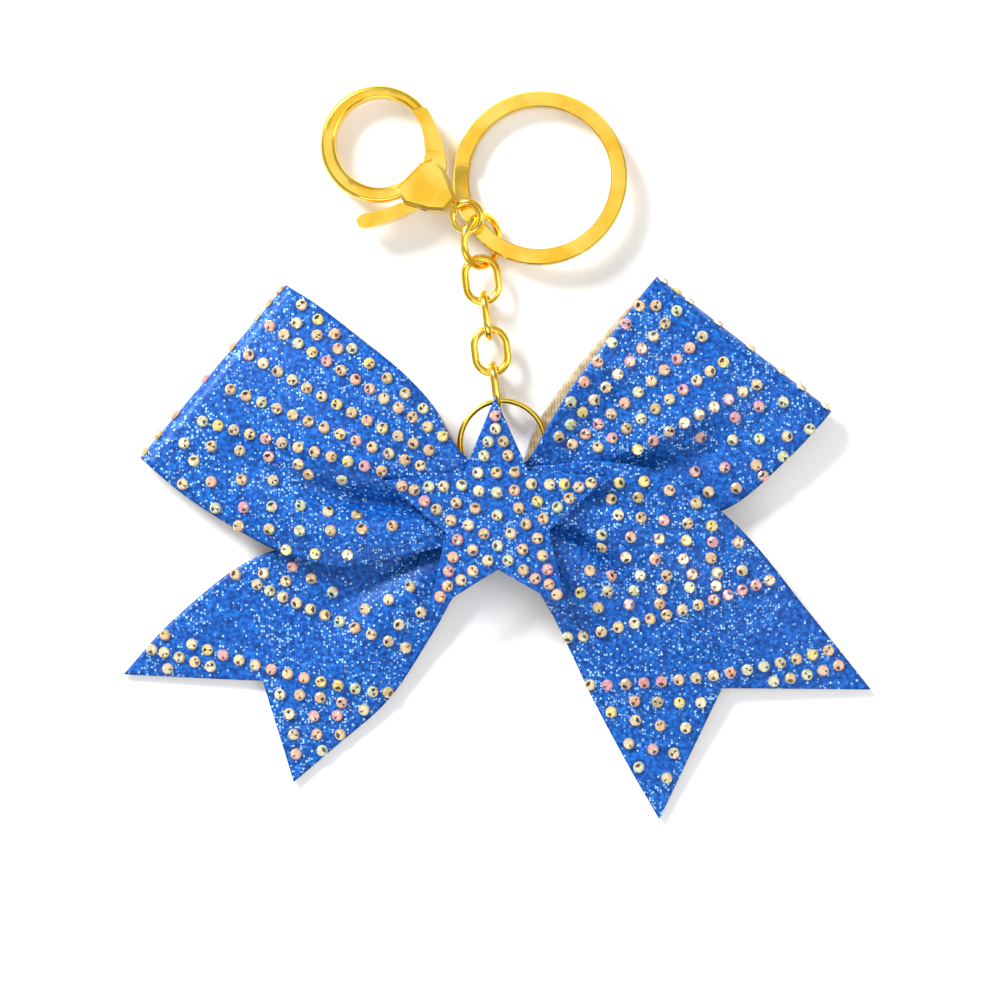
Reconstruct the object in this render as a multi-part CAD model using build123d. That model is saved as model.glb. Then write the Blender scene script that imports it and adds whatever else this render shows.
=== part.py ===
from build123d import *
import os
from math import cos, hypot, pi, radians, sin

os.makedirs("parts", exist_ok=True)

# ---------------------------------------------------------------- sizes, mm
RIBBON_WIDTH = 38.0          # one and a half inch ribbon, sets the whole spread of the bow
FACE_T = 0.45                # glitter face sheet
BACKING_T = 0.35             # woven backing sheet glued under it
GLUE_GAP = 0.02              # left between sheets that are glued
FOLD_HEIGHT = 4.2            # the folded outer end of each loop, centre line to centre line
FOLD_REACH = 2.4             # how far the fold rounds off along the ribbon

TIE_T = 1.0                  # bound thread round the pinch
TIE_HALF_WIDTH = 2.4
TIE_SIDE_GAP = 0.6           # between the bound thread and the ribbon edges
LAYER_GAP = 0.4              # between stacked pinch layers

STAR_RADIUS = 20.3
STAR_INNER_RADIUS = 9.3
STAR_TURN = 91.0             # degrees, first tip from +X
STAR_T = 1.2
PAD_RADIUS = 7.0             # felt disc under the star
PAD_T = 0.8

STONE_RADIUS = 1.02          # SS6 flat-back stones
STONE_TABLE_RADIUS = 0.6
STONE_HEIGHT = 0.75
STONE_LIFT = 0.08            # glue under each stone

RING_RADIUS = 7.3            # wire ring through the pinch, to the wire centre
RING_WIRE = 0.5              # wire radius
RING_Y = 12.4                # ring centre above the star centre
RING_X = 0.95
RING_CUT = 4.0               # degrees left open at the butt joint

LINK_WIDTH = 6.9
LINK_LENGTH = 8.9
LINK_WIRE = 0.675            # wire radius
LINK_SLACK = 0.05            # between two touching wires
CHAIN_LEAN = 97.3            # direction of the laid-out chain, degrees from +X

CONNECTOR_RADIUS = 4.35
CONNECTOR_WIRE = 0.65
CONNECTOR_CUT = 5.0

SPLIT_OUTER = 15.0
SPLIT_INNER = 12.3
COIL_T = 1.25
COIL_PITCH = 1.33
COIL_EDGE = 0.2
COIL_START = 170.0           # where the outer coil ends, degrees
COIL_STEP = 30.0             # length of the step from one coil to the other

EYE_RADIUS = 2.5
EYE_WIRE = 0.6
STEM_RADIUS = 0.75
STEM_HEAD_RADIUS = 1.1
STEM_HEAD_T = 0.7
RUN_GAP = 0.05               # running fit, radial

HOOK_OPENING = 7.75
HOOK_OUTER = 10.1
HOOK_T = 3.0
BODY_T = 4.8
BODY_END = 16.4              # clasp loop centre to the end face of its body
EYE_OUT = 19.7               # clasp loop centre to the eye centre
PIVOT_U = 11.2
PIN_RADIUS = 0.6
SLOT_T = 2.4
LEVER_T = 1.65
SPRING_WIRE = 0.13
SPRING_RADIUS = 0.95

# where things lie, mm from the middle of the star
BASE_X = 0.0                 # shift that brings the whole row over the origin
BASE_Y = -10.71

RIBBON_T = FACE_T + BACKING_T
EDGE = RIBBON_WIDTH / 38.0   # the edge outlines below are laid out for a 38 mm ribbon

BACK_Z = TIE_T + FACE_T
LINK_Z = LINK_WIDTH / 2 + GLUE_GAP
PINCH_PLEAT = 0.15
UNDER_Z = LINK_Z + RING_WIRE + LAYER_GAP + PINCH_PLEAT + BACKING_T
OVER_Z = UNDER_Z + RIBBON_T + LAYER_GAP + PINCH_PLEAT
TIE_TOP = OVER_Z + FACE_T + PINCH_PLEAT + GLUE_GAP + TIE_T
FOLD_LOW_Z = FACE_T + GLUE_GAP
FOLD_TOP_Z = FOLD_LOW_Z + FOLD_HEIGHT

STATIONS = [0.0, 0.05, 0.15, 0.3, 0.45, 0.65, 0.85, 1.0]

# ------------------------------------------------- edges of the ribbon lengths
# Each length runs from the pinch (first point) to its outer end (last point).
LEFT_LOW = [(-0.2, -4.6), (-12, -6.0), (-20, -7.6), (-28, -8.9), (-39, -5.4), (-52.6, 2.6), (-61.2, 9.6)]
LEFT_HIGH = [(-0.2, 7.8), (-7.4, 12.2), (-11, 18.8), (-16.7, 24.9), (-23.9, 30.6), (-31, 36.2), (-36.1, 39.4)]
LEFT_BACK_LOW = [(-0.2, -4.6), (-9, -4.2), (-19, -3.0), (-28.5, -1.2), (-41, 1.8), (-53.2, 6.0), (-61.2, 9.6)]
LEFT_BACK_HIGH = [(-0.2, 7.8), (-6.7, 11.5), (-10.6, 18.2), (-16.2, 24.4), (-23.5, 30.6), (-31.1, 36.3), (-36.1, 39.4)]
RIGHT_LOW = [(0.2, -4.6), (9, -4.5), (19, -3.5), (28, -1.8), (40, 1.4), (50.5, 10.2), (57.4, 17.6)]
RIGHT_HIGH = [(0.2, 7.8), (5.6, 9.9), (8.8, 15.3), (12.6, 21.6), (18, 28.8), (23.4, 36), (27.3, 40.8)]
RIGHT_BACK_LOW = [(0.2, -4.6), (9, -3.6), (19, -1.5), (28, 1.2), (40, 5.6), (51, 12.8), (57.4, 17.6)]
RIGHT_BACK_HIGH = [(0.2, 7.8), (4.6, 9.6), (6.4, 14.8), (10.2, 20.9), (16.2, 28.4), (22.8, 36), (27.3, 40.8)]
LEFT_TAIL_LOW = [(-0.2, -4.6), (-4, -9), (-7.5, -14), (-10.9, -20), (-18.6, -31.6), (-28.2, -40.2), (-35.1, -46.1)]
LEFT_TAIL_HIGH = [(-0.2, 7.8), (-8, 5), (-18, 0), (-29, -3.5), (-43, -8), (-56, -18.2), (-64.5, -27.5)]
RIGHT_TAIL_LOW = [(0.2, -4.6), (3.5, -8.5), (7.2, -13.2), (10.8, -19.6), (16.2, -31), (22.9, -43.6), (28, -52.5)]
RIGHT_TAIL_HIGH = [(0.2, 7.8), (9, 8.6), (19, 9.2), (29.8, 6.4), (41.8, -2.4), (54.6, -17.8), (64.5, -30.1)]
LEFT_NOTCH = (-40.4, -28.6)
RIGHT_NOTCH = (38.7, -29.8)


def from_pinch(values):
    """Adds the station where a length leaves the bound thread."""
    first = values[0]
    if isinstance(first, tuple):
        side = 1 if first[0] > 0 else -1
        return [first, (side * (TIE_HALF_WIDTH + 0.5) / EDGE, first[1] * 1.03)] + values[1:]
    return [first, first] + values[1:]


def through(values, u):
    """Smooth curve through the station values, for numbers."""
    last = len(STATIONS) - 1
    i = 0
    while i < last - 1 and u > STATIONS[i + 1]:
        i += 1
    span = STATIONS[i + 1] - STATIONS[i]
    t = (u - STATIONS[i]) / span

    def slope(k):
        a = max(k - 1, 0)
        b = min(k + 1, last)
        return (values[b] - values[a]) / (STATIONS[b] - STATIONS[a])

    h00 = 2 * t**3 - 3 * t**2 + 1
    h10 = t**3 - 2 * t**2 + t
    h01 = -2 * t**3 + 3 * t**2
    h11 = t**3 - t**2
    return h00 * values[i] + h10 * span * slope(i) + h01 * values[i + 1] + h11 * span * slope(i + 1)


def edge_point(edge, u):
    x = through([p[0] for p in edge], u)
    y = through([p[1] for p in edge], u)
    return x * EDGE, y * EDGE


def plan_point(low, high, u, v):
    lx, ly = edge_point(low, u)
    hx, hy = edge_point(high, u)
    return lx + (hx - lx) * v, ly + (hy - ly) * v


def pleat(v, waves, crest):
    return cos(2 * pi * waves * (v - crest))


class Panel:
    """One ribbon length: plan outline, heights of both edges, pleats that fade outwards."""

    def __init__(self, low, high, low_z, high_z, puff, depth, waves, crest, bend):
        self.low = from_pinch(low)
        self.high = from_pinch(high)
        self.low_z = from_pinch(low_z)
        self.high_z = from_pinch(high_z)
        self.puff = from_pinch(puff)
        self.depth = from_pinch(depth)
        self.waves = waves
        self.crest = crest
        self.bend = bend

    def height(self, u, v):
        low = through(self.low_z, u)
        high = through(self.high_z, u)
        share = v**self.bend if self.bend >= 1 else sin(pi * v / 2)
        z = low + (high - low) * share
        z += through(self.puff, u) * sin(pi * v)
        z += through(self.depth, u) * pleat(v, self.waves, self.crest)
        return z

    def point(self, u, v):
        x, y = plan_point(self.low, self.high, u, v)
        return Vector(x, y, self.height(u, v))


P0 = PINCH_PLEAT
LEFT_FRONT = Panel(
    LEFT_LOW, LEFT_HIGH,
    [OVER_Z, 6.4, 6.0, 5.4, 4.6, 4.5, FOLD_TOP_Z],
    [OVER_Z, 7.0, 7.4, 7.4, 6.6, 5.4, FOLD_TOP_Z],
    [0, 0.2, 0.9, 2.0, 2.4, 1.2, 0],
    [P0, 0.7, 1.1, 1.2, 0.7, 0.1, 0], 1.75, 0.2, 1)
RIGHT_FRONT = Panel(
    RIGHT_LOW, RIGHT_HIGH,
    [UNDER_Z, 4.7, 4.5, 4.4, 4.4, 4.4, FOLD_TOP_Z],
    [UNDER_Z, 5.8, 7.0, 8.0, 8.0, 6.2, FOLD_TOP_Z],
    [0, 0, 0.1, 0.4, 1.5, 1.0, 0],
    [P0, 0.3, 0.25, 0.3, 0.3, 0.1, 0], 1.5, 0.25, 2)
LEFT_TAIL = Panel(
    LEFT_TAIL_LOW, LEFT_TAIL_HIGH,
    [UNDER_Z, 4.2, 3.4, 2.4, 1.2, 0.8, 0.6],
    [UNDER_Z, 4.3, 3.6, 2.6, 1.6, 0.9, 0.6],
    [0, 0, 0.2, 0.5, 0.6, 0.3, 0],
    [P0, 0.4, 0.5, 0.45, 0.2, 0.05, 0], 1.5, 0.25, 1)
RIGHT_TAIL = Panel(
    RIGHT_TAIL_LOW, RIGHT_TAIL_HIGH,
    [OVER_Z, 6.3, 5.4, 3.8, 1.8, 0.9, 0.6],
    [OVER_Z, 7.2, 7.6, 7.2, 5.0, 1.9, 0.8],
    [0, 0.1, 0.2, 0.4, 0.6, 0.5, 0.2],
    [P0, 0.35, 0.45, 0.45, 0.3, 0.1, 0], 2.0, 0.12, 0)


class BackPanel(Panel):
    """Lower half of a loop: flat on the table, raised only at the pinch."""

    def __init__(self, low, high):
        rise = [BACK_Z, 0.9, FOLD_LOW_Z, FOLD_LOW_Z, FOLD_LOW_Z, FOLD_LOW_Z, FOLD_LOW_Z]
        still = [0] * len(rise)
        super().__init__(low, high, rise, rise, still, still, 1, 0, 1)


LEFT_REAR = BackPanel(LEFT_BACK_LOW, LEFT_BACK_HIGH)
RIGHT_REAR = BackPanel(RIGHT_BACK_LOW, RIGHT_BACK_HIGH)

FRONT_STEPS = [0.0, 0.06, 0.12, 0.18, 0.25, 0.32, 0.39, 0.46, 0.54, 0.62, 0.7, 0.78, 0.85, 0.91]
BACK_STEPS = [0.91, 0.84, 0.74, 0.62, 0.5, 0.38, 0.27, 0.18, 0.1, 0.05, 0.0]
FOLD_ANGLES = [90, 66, 42, 20, 0, -20, -42, -66, -90]
ACROSS = [i / 12 for i in range(13)]


def fold_point(front, rear, angle, v):
    """Point on the outer fold, at an angle from straight up (90) to straight down (-90)."""
    reach = FOLD_REACH / RIBBON_WIDTH * 0.6
    start = 1 - reach
    a = radians(angle)
    u = start + reach * cos(a)
    f = front.point(u, v)
    r = rear.point(u, v)
    top = front.height(start, v)
    low = rear.height(start, v)
    share = (1 - sin(a)) / 2
    z = (top + low) / 2 + (top - low) / 2 * sin(a)
    return Vector(f.X + (r.X - f.X) * share, f.Y + (r.Y - f.Y) * share, z)


def loop_grid(front, rear):
    """Rows of points from the pinch out along the front, round the fold and back."""
    rows = []
    for u in FRONT_STEPS:
        rows.append([front.point(u, v) for v in ACROSS])
    for angle in FOLD_ANGLES:
        rows.append([fold_point(front, rear, angle, v) for v in ACROSS])
    for u in BACK_STEPS:
        rows.append([rear.point(u, v) for v in ACROSS])
    return rows


def tail_grid(panel):
    steps = FRONT_STEPS + [0.96, 1.0]
    return [[panel.point(u, v) for v in ACROSS] for u in steps]


def normals(grid, turn):
    """Unit normals of a grid of points, turned towards the glitter side."""
    out = []
    rows = len(grid)
    cols = len(grid[0])
    for i in range(rows):
        line = []
        for j in range(cols):
            du = grid[min(i + 1, rows - 1)][j] - grid[max(i - 1, 0)][j]
            dv = grid[i][min(j + 1, cols - 1)] - grid[i][max(j - 1, 0)]
            n = du.cross(dv) * turn
            line.append(n.normalized())
        out.append(line)
    return out


def sheet_between(grid, normal_grid, low, high):
    """Closed sheet between two offsets of the same grid, ruled from row to row."""
    sections = []
    caps = []
    for i, (row, normal_row) in enumerate(zip(grid, normal_grid)):
        over = [p + n * high for p, n in zip(row, normal_row)]
        under = [p + n * low for p, n in zip(row, normal_row)]
        over_edge = Edge.make_spline(over)
        edges = [
            over_edge,
            Edge.make_line(over[-1], under[-1]),
            Edge.make_spline(under[::-1]),
            Edge.make_line(under[0], over[0])]
        sections.append(Wire(edges))
        if i in (0, len(grid) - 1):
            caps.append(Face.make_surface_from_curves(over_edge, Edge.make_spline(under)))
    sides = Solid.make_loft(sections, ruled=True).faces()
    return Solid(Shell(list(sides) + caps))


def wedge(a, notch, b):
    """Tall prism over the fishtail cut, its mouth run out past the ribbon end."""
    points = []
    for x, y in (a, notch, b):
        points.append((x * EDGE, y * EDGE))
    nx, ny = points[1]
    far = []
    for x, y in (points[2], points[0]):
        far.append((nx + (x - nx) * 1.6, ny + (y - ny) * 1.6))
    outline = Polyline(points[1], far[0], far[1], close=True)
    return extrude(make_face(outline), amount=40, both=True)


def place(shape):
    return shape.moved(Location((BASE_X, BASE_Y, 0)))


made = {}


def keep(name, shape):
    made[name] = place(shape)


def ribbon_pair(name, grid, turn, cutter=None):
    n = normals(grid, turn)
    face = sheet_between(grid, n, GLUE_GAP / 2, FACE_T)
    backing = sheet_between(grid, n, -BACKING_T, -GLUE_GAP / 2)
    if cutter is not None:
        face = face - cutter
        backing = backing - cutter
    keep(name + "_face", face)
    keep(name + "_backing", backing)


ribbon_pair("left_loop", loop_grid(LEFT_FRONT, LEFT_REAR), -1)
ribbon_pair("right_loop", loop_grid(RIGHT_FRONT, RIGHT_REAR), 1)
ribbon_pair("left_tail", tail_grid(LEFT_TAIL), -1, wedge(LEFT_TAIL_LOW[-1], LEFT_NOTCH, LEFT_TAIL_HIGH[-1]))
ribbon_pair("right_tail", tail_grid(RIGHT_TAIL), 1, wedge(RIGHT_TAIL_LOW[-1], RIGHT_NOTCH, RIGHT_TAIL_HIGH[-1]))

# ---------------------------------------------------------- centre of the bow
pinch_low = -4.6 * EDGE - TIE_SIDE_GAP
pinch_high = 7.8 * EDGE + TIE_SIDE_GAP
tie_outer = Box(2 * TIE_HALF_WIDTH, pinch_high - pinch_low + 2 * TIE_T, TIE_TOP)
tie_outer = fillet(tie_outer.edges().filter_by(Axis.X), 0.9)
tie_inner = Box(4 * TIE_HALF_WIDTH, pinch_high - pinch_low, TIE_TOP - 2 * TIE_T)
tie_middle = Location((0, (pinch_low + pinch_high) / 2, TIE_TOP / 2))
keep("centre_tie", (tie_outer - tie_inner).moved(tie_middle))

keep("star_pad", Cylinder(PAD_RADIUS, PAD_T).moved(Location((0, 0, TIE_TOP + PAD_T / 2))))
star_floor = TIE_TOP + PAD_T
star_points = []
for k in range(10):
    radius = STAR_RADIUS if k % 2 == 0 else STAR_INNER_RADIUS
    angle = radians(STAR_TURN + 36 * k)
    star_points.append((radius * cos(angle), radius * sin(angle)))
star = extrude(make_face(Polyline(*star_points, close=True)), amount=STAR_T)
star = chamfer(star.faces().sort_by(Axis.Z)[-1].edges(), 0.2)
keep("star_patch", star.moved(Location((0, 0, star_floor))))

# --------------------------------------------------------------------- stones
stone = Cone(STONE_RADIUS, STONE_TABLE_RADIUS, STONE_HEIGHT, align=(Align.CENTER, Align.CENTER, Align.MIN))
STONE_GAP = 2 * STONE_RADIUS + 0.12
EDGE_ROOM = 0.9                 # stone centre to a cut edge
NUDGE = 1.5                     # how far a stone may move to keep that room


def inside(point, polygon):
    x, y = point
    hit = False
    for (ax, ay), (bx, by) in zip(polygon, polygon[1:] + polygon[:1]):
        if (ay > y) != (by > y) and x < (bx - ax) * (y - ay) / (by - ay) + ax:
            hit = not hit
    return hit


def edge_distance(point, polygon):
    x, y = point
    best = 1e9
    for (ax, ay), (bx, by) in zip(polygon, polygon[1:] + polygon[:1]):
        t = ((x - ax) * (bx - ax) + (y - ay) * (by - ay)) / ((bx - ax) ** 2 + (by - ay) ** 2)
        t = max(0, min(1, t))
        best = min(best, hypot(x - ax - (bx - ax) * t, y - ay - (by - ay) * t))
    return best


def across_line(panel, u, x, y):
    """Which side of the line across the ribbon at u a plan point lies on."""
    ax, ay = edge_point(panel.low, u)
    bx, by = edge_point(panel.high, u)
    return (bx - ax) * (y - ay) - (by - ay) * (x - ax)


def spot_on(panel, x, y):
    """Place along (u) and across (v) the ribbon of a plan point, kept off its edges; None if it is outside."""
    near = 0.06
    far = 0.95
    if across_line(panel, near, x, y) * across_line(panel, far, x, y) > 0:
        return None
    outer = across_line(panel, far, x, y) > 0
    for step in range(24):
        u = (near + far) / 2
        if (across_line(panel, u, x, y) > 0) == outer:
            far = u
        else:
            near = u
    ax, ay = edge_point(panel.low, u)
    bx, by = edge_point(panel.high, u)
    width = hypot(bx - ax, by - ay)
    v = ((x - ax) * (bx - ax) + (y - ay) * (by - ay)) / width**2
    room = EDGE_ROOM / width
    kept = max(room, min(1 - room, v))
    if abs(kept - v) * width > NUDGE:
        return None
    return u, kept


def stone_at(panel, u, v):
    """Seat and outward direction of a stone on a ribbon length."""
    step = 0.01
    du = panel.point(min(u + step, 1), v) - panel.point(max(u - step, 0), v)
    dv = panel.point(u, min(v + step, 1)) - panel.point(u, max(v - step, 0))
    n = du.cross(dv).normalized()
    if n.Z < 0:
        n = n * -1
    return panel.point(u, v) + n * (FACE_T + STONE_LIFT), n


def stone_on_fold(front, rear, angle, v, turn):
    """Seat and outward direction of a stone on the outer fold of a loop."""
    step = 2
    da = fold_point(front, rear, angle - step, v) - fold_point(front, rear, angle + step, v)
    dv = fold_point(front, rear, angle, v + 0.01) - fold_point(front, rear, angle, v - 0.01)
    n = (da.cross(dv) * turn).normalized()
    return fold_point(front, rear, angle, v) + n * (FACE_T + STONE_LIFT), n


def spread(start, middle, end, count):
    """Even places along a shallow curve through three plan points."""
    places = []
    for k in range(count):
        t = k / (count - 1)
        weights = ((1 - t) * (1 - 2 * t), 4 * t * (1 - t), t * (2 * t - 1))
        x = sum(w * q[0] for w, q in zip(weights, (start, middle, end)))
        y = sum(w * q[1] for w, q in zip(weights, (start, middle, end)))
        places.append((x, y))
    return places


def set_stones(name, panel, places, covers, cut=None, first=()):
    """Sets a stone at every place that is free, uncovered and clear of the fishtail cut."""
    seats = list(first)
    for place_x, place_y in places:
        x = place_x * EDGE
        y = place_y * EDGE
        spot = spot_on(panel, x, y)
        if spot is None:
            continue
        seat, n = stone_at(panel, *spot)
        plan = (seat.X, seat.Y)
        if any(inside(plan, c) or edge_distance(plan, c) < STONE_RADIUS + 0.3 for c in covers):
            continue
        if cut is not None and (inside(plan, cut) or edge_distance(plan, cut) < EDGE_ROOM):
            continue
        if all((seat - other).length > STONE_GAP for other, direction in seats):
            seats.append((seat, n))
    stones = [stone.moved(Plane(origin=seat, z_dir=n).location) for seat, n in seats]
    keep(name, Compound(children=stones))


def outline_of(panel):
    steps = [i / 20 for i in range(21)]
    return [edge_point(panel.low, u) for u in steps] + [edge_point(panel.high, u) for u in steps][::-1]


def fishtail(panel, notch):
    """Plan of the wedge cut from a tail's end."""
    n = (notch[0] * EDGE, notch[1] * EDGE)
    a = edge_point(panel.low, 1.0)
    b = edge_point(panel.high, 1.0)
    return [n, a, (a[0] * 2 - n[0], a[1] * 2 - n[1]), (b[0] * 2 - n[0], b[1] * 2 - n[1]), b]


FOLD_STONE_ANGLE = 14
LEFT_FOLD = [0.965, 0.89, 0.81, 0.64, 0.453, 0.247, 0.13, 0.035]
RIGHT_FOLD = [0.965, 0.885, 0.817, 0.65, 0.466, 0.294, 0.175, 0.035]
left_edge = [stone_on_fold(LEFT_FRONT, LEFT_REAR, FOLD_STONE_ANGLE, v, -1) for v in LEFT_FOLD]
right_edge = [stone_on_fold(RIGHT_FRONT, RIGHT_REAR, FOLD_STONE_ANGLE, v, 1) for v in RIGHT_FOLD]

def rows(*given):
    """Rows of stones, each given by its two ends, its middle and its count."""
    places = []
    for row in given:
        places += spread(*row)
    return places


left_places = rows(
    ((-38.9, 32.4), (-24.3, 23.0), (-9.8, 13.3), 13),
    ((-42.5, 27.4), (-27.3, 19.0), (-11.8, 11.2), 13),
    ((-48.3, 22.6), (-30.8, 15.6), (-13.0, 8.8), 14),
    ((-53.2, 16.8), (-35.4, 12.0), (-16.9, 7.0), 14),
    ((-33.5, 36.0), (-23.5, 27.0), (-13.0, 18.0), 8),
    ((-37.7, 34.7), (-32.6, 31.8), (-27.3, 28.3), 4),
    ((-58.4, 12.6), (-46.5, 11.5), (-34.0, 8.7), 6),
    ((-58.0, 8.8), (-55.0, 9.2), (-52.0, 9.4), 2),
    ((-54.0, 5.4), (-41.0, 6.2), (-26.6, 6.0), 6),
    ((-48.3, 1.4), (-36.0, 1.7), (-24.0, 1.6), 6),
    ((-44.3, -1.6), (-31.0, -2.4), (-18.0, -1.8), 6),
    ((-36.0, -5.6), (-31.0, -6.2), (-25.6, -6.3), 3))
set_stones("stones_left_loop", LEFT_FRONT, left_places, [star_points], first=left_edge)

right_places = rows(
    ((30.7, 34.9), (20.6, 24.2), (10.5, 13.7), 11),
    ((37.3, 32.5), (25.2, 22.1), (12.8, 12.4), 12),
    ((41.0, 27.7), (28.3, 19.1), (14.8, 10.1), 12),
    ((46.9, 23.5), (35.9, 17.9), (24.2, 11.4), 10),
    ((26.6, 38.8), (19.5, 29.5), (12.6, 19.6), 7),
    ((27.1, 35.8), (23.8, 32.0), (20.2, 28.0), 3),
    ((53.5, 18.9), (47.0, 19.2), (40.8, 16.8), 4),
    ((54.6, 14.1), (45.0, 13.2), (35.3, 12.6), 5),
    ((49.9, 9.4), (39.0, 8.3), (28.3, 8.4), 5),
    ((46.3, 6.2), (41.0, 4.8), (36.3, 4.2), 3))
set_stones("stones_right_loop", RIGHT_FRONT, right_places, [star_points, outline_of(RIGHT_TAIL)], first=right_edge)

left_tail_places = rows(
    ((-45.4, -9.9), (-30.9, -16.7), (-12.8, -23.8), 14),
    ((-57.9, -20.2), (-38.9, -26.6), (-18.5, -30.8), 15),
    ((-60.0, -22.9), (-54.8, -24.5), (-49.4, -26.1), 5),
    ((-62.2, -25.3), (-59.6, -25.9), (-56.8, -26.5), 3),
    ((-37.4, -30.9), (-30.5, -31.4), (-23.0, -33.5), 5),
    ((-35.8, -34.2), (-31.6, -34.6), (-27.6, -34.5), 3),
    ((-35.1, -37.8), (-31.1, -37.8), (-27.1, -37.8), 3),
    ((-34.7, -41.2), (-32.4, -41.0), (-30.2, -40.6), 2),
    ((-38.7, -6.4), (-35.2, -8.8), (-32.0, -10.8), 3),
    ((-40.2, -10.0), (-34.4, -11.9), (-28.3, -13.2), 4),
    ((-22.6, -16.2), (-16.6, -13.5), (-11.3, -9.3), 4),
    ((-16.9, -18.7), (-15.0, -17.6), (-13.2, -16.5), 2))
set_stones(
    "stones_left_tail", LEFT_TAIL, left_tail_places, [star_points, outline_of(LEFT_FRONT)],
    fishtail(LEFT_TAIL, LEFT_NOTCH))

right_tail_places = rows(
    ((11.9, -21.3), (30.5, -16.5), (46.8, -11.1), 14),
    ((16.0, -29.2), (37.2, -27.5), (57.1, -23.3), 15),
    ((58.9, -25.9), (53.4, -27.5), (47.6, -28.6), 5),
    ((61.5, -28.7), (58.3, -29.0), (55.2, -29.4), 3),
    ((23.7, -31.9), (29.5, -32.2), (35.1, -32.2), 4),
    ((19.8, -33.8), (26.0, -35.8), (32.5, -36.6), 4),
    ((22.8, -39.3), (26.9, -40.3), (30.5, -41.0), 3),
    ((24.5, -43.4), (27.0, -44.4), (29.3, -45.3), 2),
    ((20.9, 5.6), (25.2, 5.9), (29.5, 4.4), 3),
    ((19.5, 2.6), (26.5, 3.0), (34.1, 2.2), 4),
    ((20.7, 0.0), (28.5, -0.9), (36.8, -1.7), 5),
    ((18.0, -3.1), (30.0, -4.2), (41.4, -4.6), 6),
    ((17.4, -6.2), (27.0, -7.4), (36.6, -7.3), 5),
    ((15.9, -9.4), (29.0, -10.2), (42.0, -9.4), 7),
    ((14.2, -13.2), (26.0, -12.6), (37.5, -12.1), 6),
    ((11.6, -16.8), (20.0, -15.4), (28.0, -15.0), 4))
set_stones(
    "stones_right_tail", RIGHT_TAIL, right_tail_places, [star_points], fishtail(RIGHT_TAIL, RIGHT_NOTCH))

# stones across each arm of the star, by distance from its middle, and round its middle
STAR_ROOM = 1.1
ARM_ROWS = [(17.0, [0]), (14.8, [0]), (12.6, [-1.3, 1.3]), (10.2, [-2.05, 2.05]), (7.3, [-3.15, 0, 3.15])]
CORE_RINGS = [(3.9, 0), (5.2, 36)]
star_scale = STAR_RADIUS / 20.3
star_places = [(0, 0)]
for arm in range(5):
    turn = radians(STAR_TURN + 72 * arm)
    for reach, offsets in ARM_ROWS:
        for offset in offsets:
            star_places.append((reach * cos(turn) - offset * sin(turn), reach * sin(turn) + offset * cos(turn)))
    for reach, twist in CORE_RINGS:
        star_places.append((reach * cos(turn + radians(twist)), reach * sin(turn + radians(twist))))
star_seats = []
for place_x, place_y in star_places:
    for pull in range(9):
        keep_out = 1 - 0.02 * pull
        spot = (place_x * star_scale * keep_out, place_y * star_scale * keep_out)
        roomy = inside(spot, star_points) and edge_distance(spot, star_points) > STAR_ROOM
        if roomy and all(hypot(spot[0] - x, spot[1] - y) > STONE_GAP for x, y in star_seats):
            star_seats.append(spot)
            break
star_stones = []
for x, y in star_seats:
    star_stones.append(stone.moved(Location((x, y, star_floor + STAR_T + STONE_LIFT))))
keep("stones_star", Compound(children=star_stones))


# ------------------------------------------------------------------ the chain
def wire_ring(radius, wire, open_angle, start):
    """Round wire bent into a ring that stays open by a few degrees."""
    section = Plane(origin=(radius, 0, 0), x_dir=(1, 0, 0), z_dir=(0, 1, 0)) * Circle(wire)
    ring = revolve(section, Axis.Z, 360 - open_angle)
    return ring.rotate(Axis.Z, start + open_angle / 2)


ring_centre = Vector(RING_X, RING_Y, LINK_Z)
keep("wire_ring", wire_ring(RING_RADIUS, RING_WIRE, RING_CUT, 262).moved(Location(ring_centre)))

lean = radians(CHAIN_LEAN)
chain_dir = Vector(cos(lean), sin(lean), 0)
chain_side = Vector(chain_dir.Y, -chain_dir.X, 0)
UP = Vector(0, 0, 1)
link_bend = LINK_WIDTH / 2 - LINK_WIRE
link_straight = LINK_LENGTH - LINK_WIDTH


def chain_link():
    """Oval link in the XY plane, long way along X."""
    link = None
    for side in (1, -1):
        section = Plane(origin=(0, link_bend, 0), x_dir=(0, 1, 0), z_dir=(1, 0, 0)) * Circle(LINK_WIRE)
        bend = revolve(section, Axis.Z, -180 * side)
        bend = bend.moved(Location((side * link_straight / 2, 0, 0)))
        bar = Cylinder(LINK_WIRE, link_straight, rotation=(0, 90, 0)).moved(Location((0, side * link_bend, 0)))
        link = bend + bar if link is None else link + bend + bar
    return link


grip = LINK_LENGTH / 2 - LINK_WIRE
first = ring_centre + chain_dir * (RING_RADIUS - RING_WIRE - LINK_WIRE - LINK_SLACK + grip)
step_along = 2 * grip - 2 * LINK_WIRE - LINK_SLACK
link_centres = [first + chain_dir * (step_along * k) for k in range(4)]
for k, centre in enumerate(link_centres):
    normal = chain_side if k % 2 == 0 else UP
    seat = Plane(origin=centre, x_dir=chain_dir, z_dir=normal)
    keep("chain_link_%d" % (k + 1), chain_link().moved(seat.location))

# -------------------------------------------- connector, eye, split ring, clasp
CONNECTOR_AT = Vector(-2.694, 47.137, 3.833)
CONNECTOR_TILT = 45.24       # degrees, left side up
CONNECTOR_ROLL = 14.68       # degrees, far side up
EYE_AT = Vector(-5.161, 51.301, 5.729)
CLASP_TILT = 6.77
CLASP_HEADING = -40.5
EYE_SWIVEL = 14.03
SPLIT_AT = Vector(7.4, 58.0, 2.803)
SPLIT_TILT = 5.78
SPLIT_TILT_TOWARDS = 323.87

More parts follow.
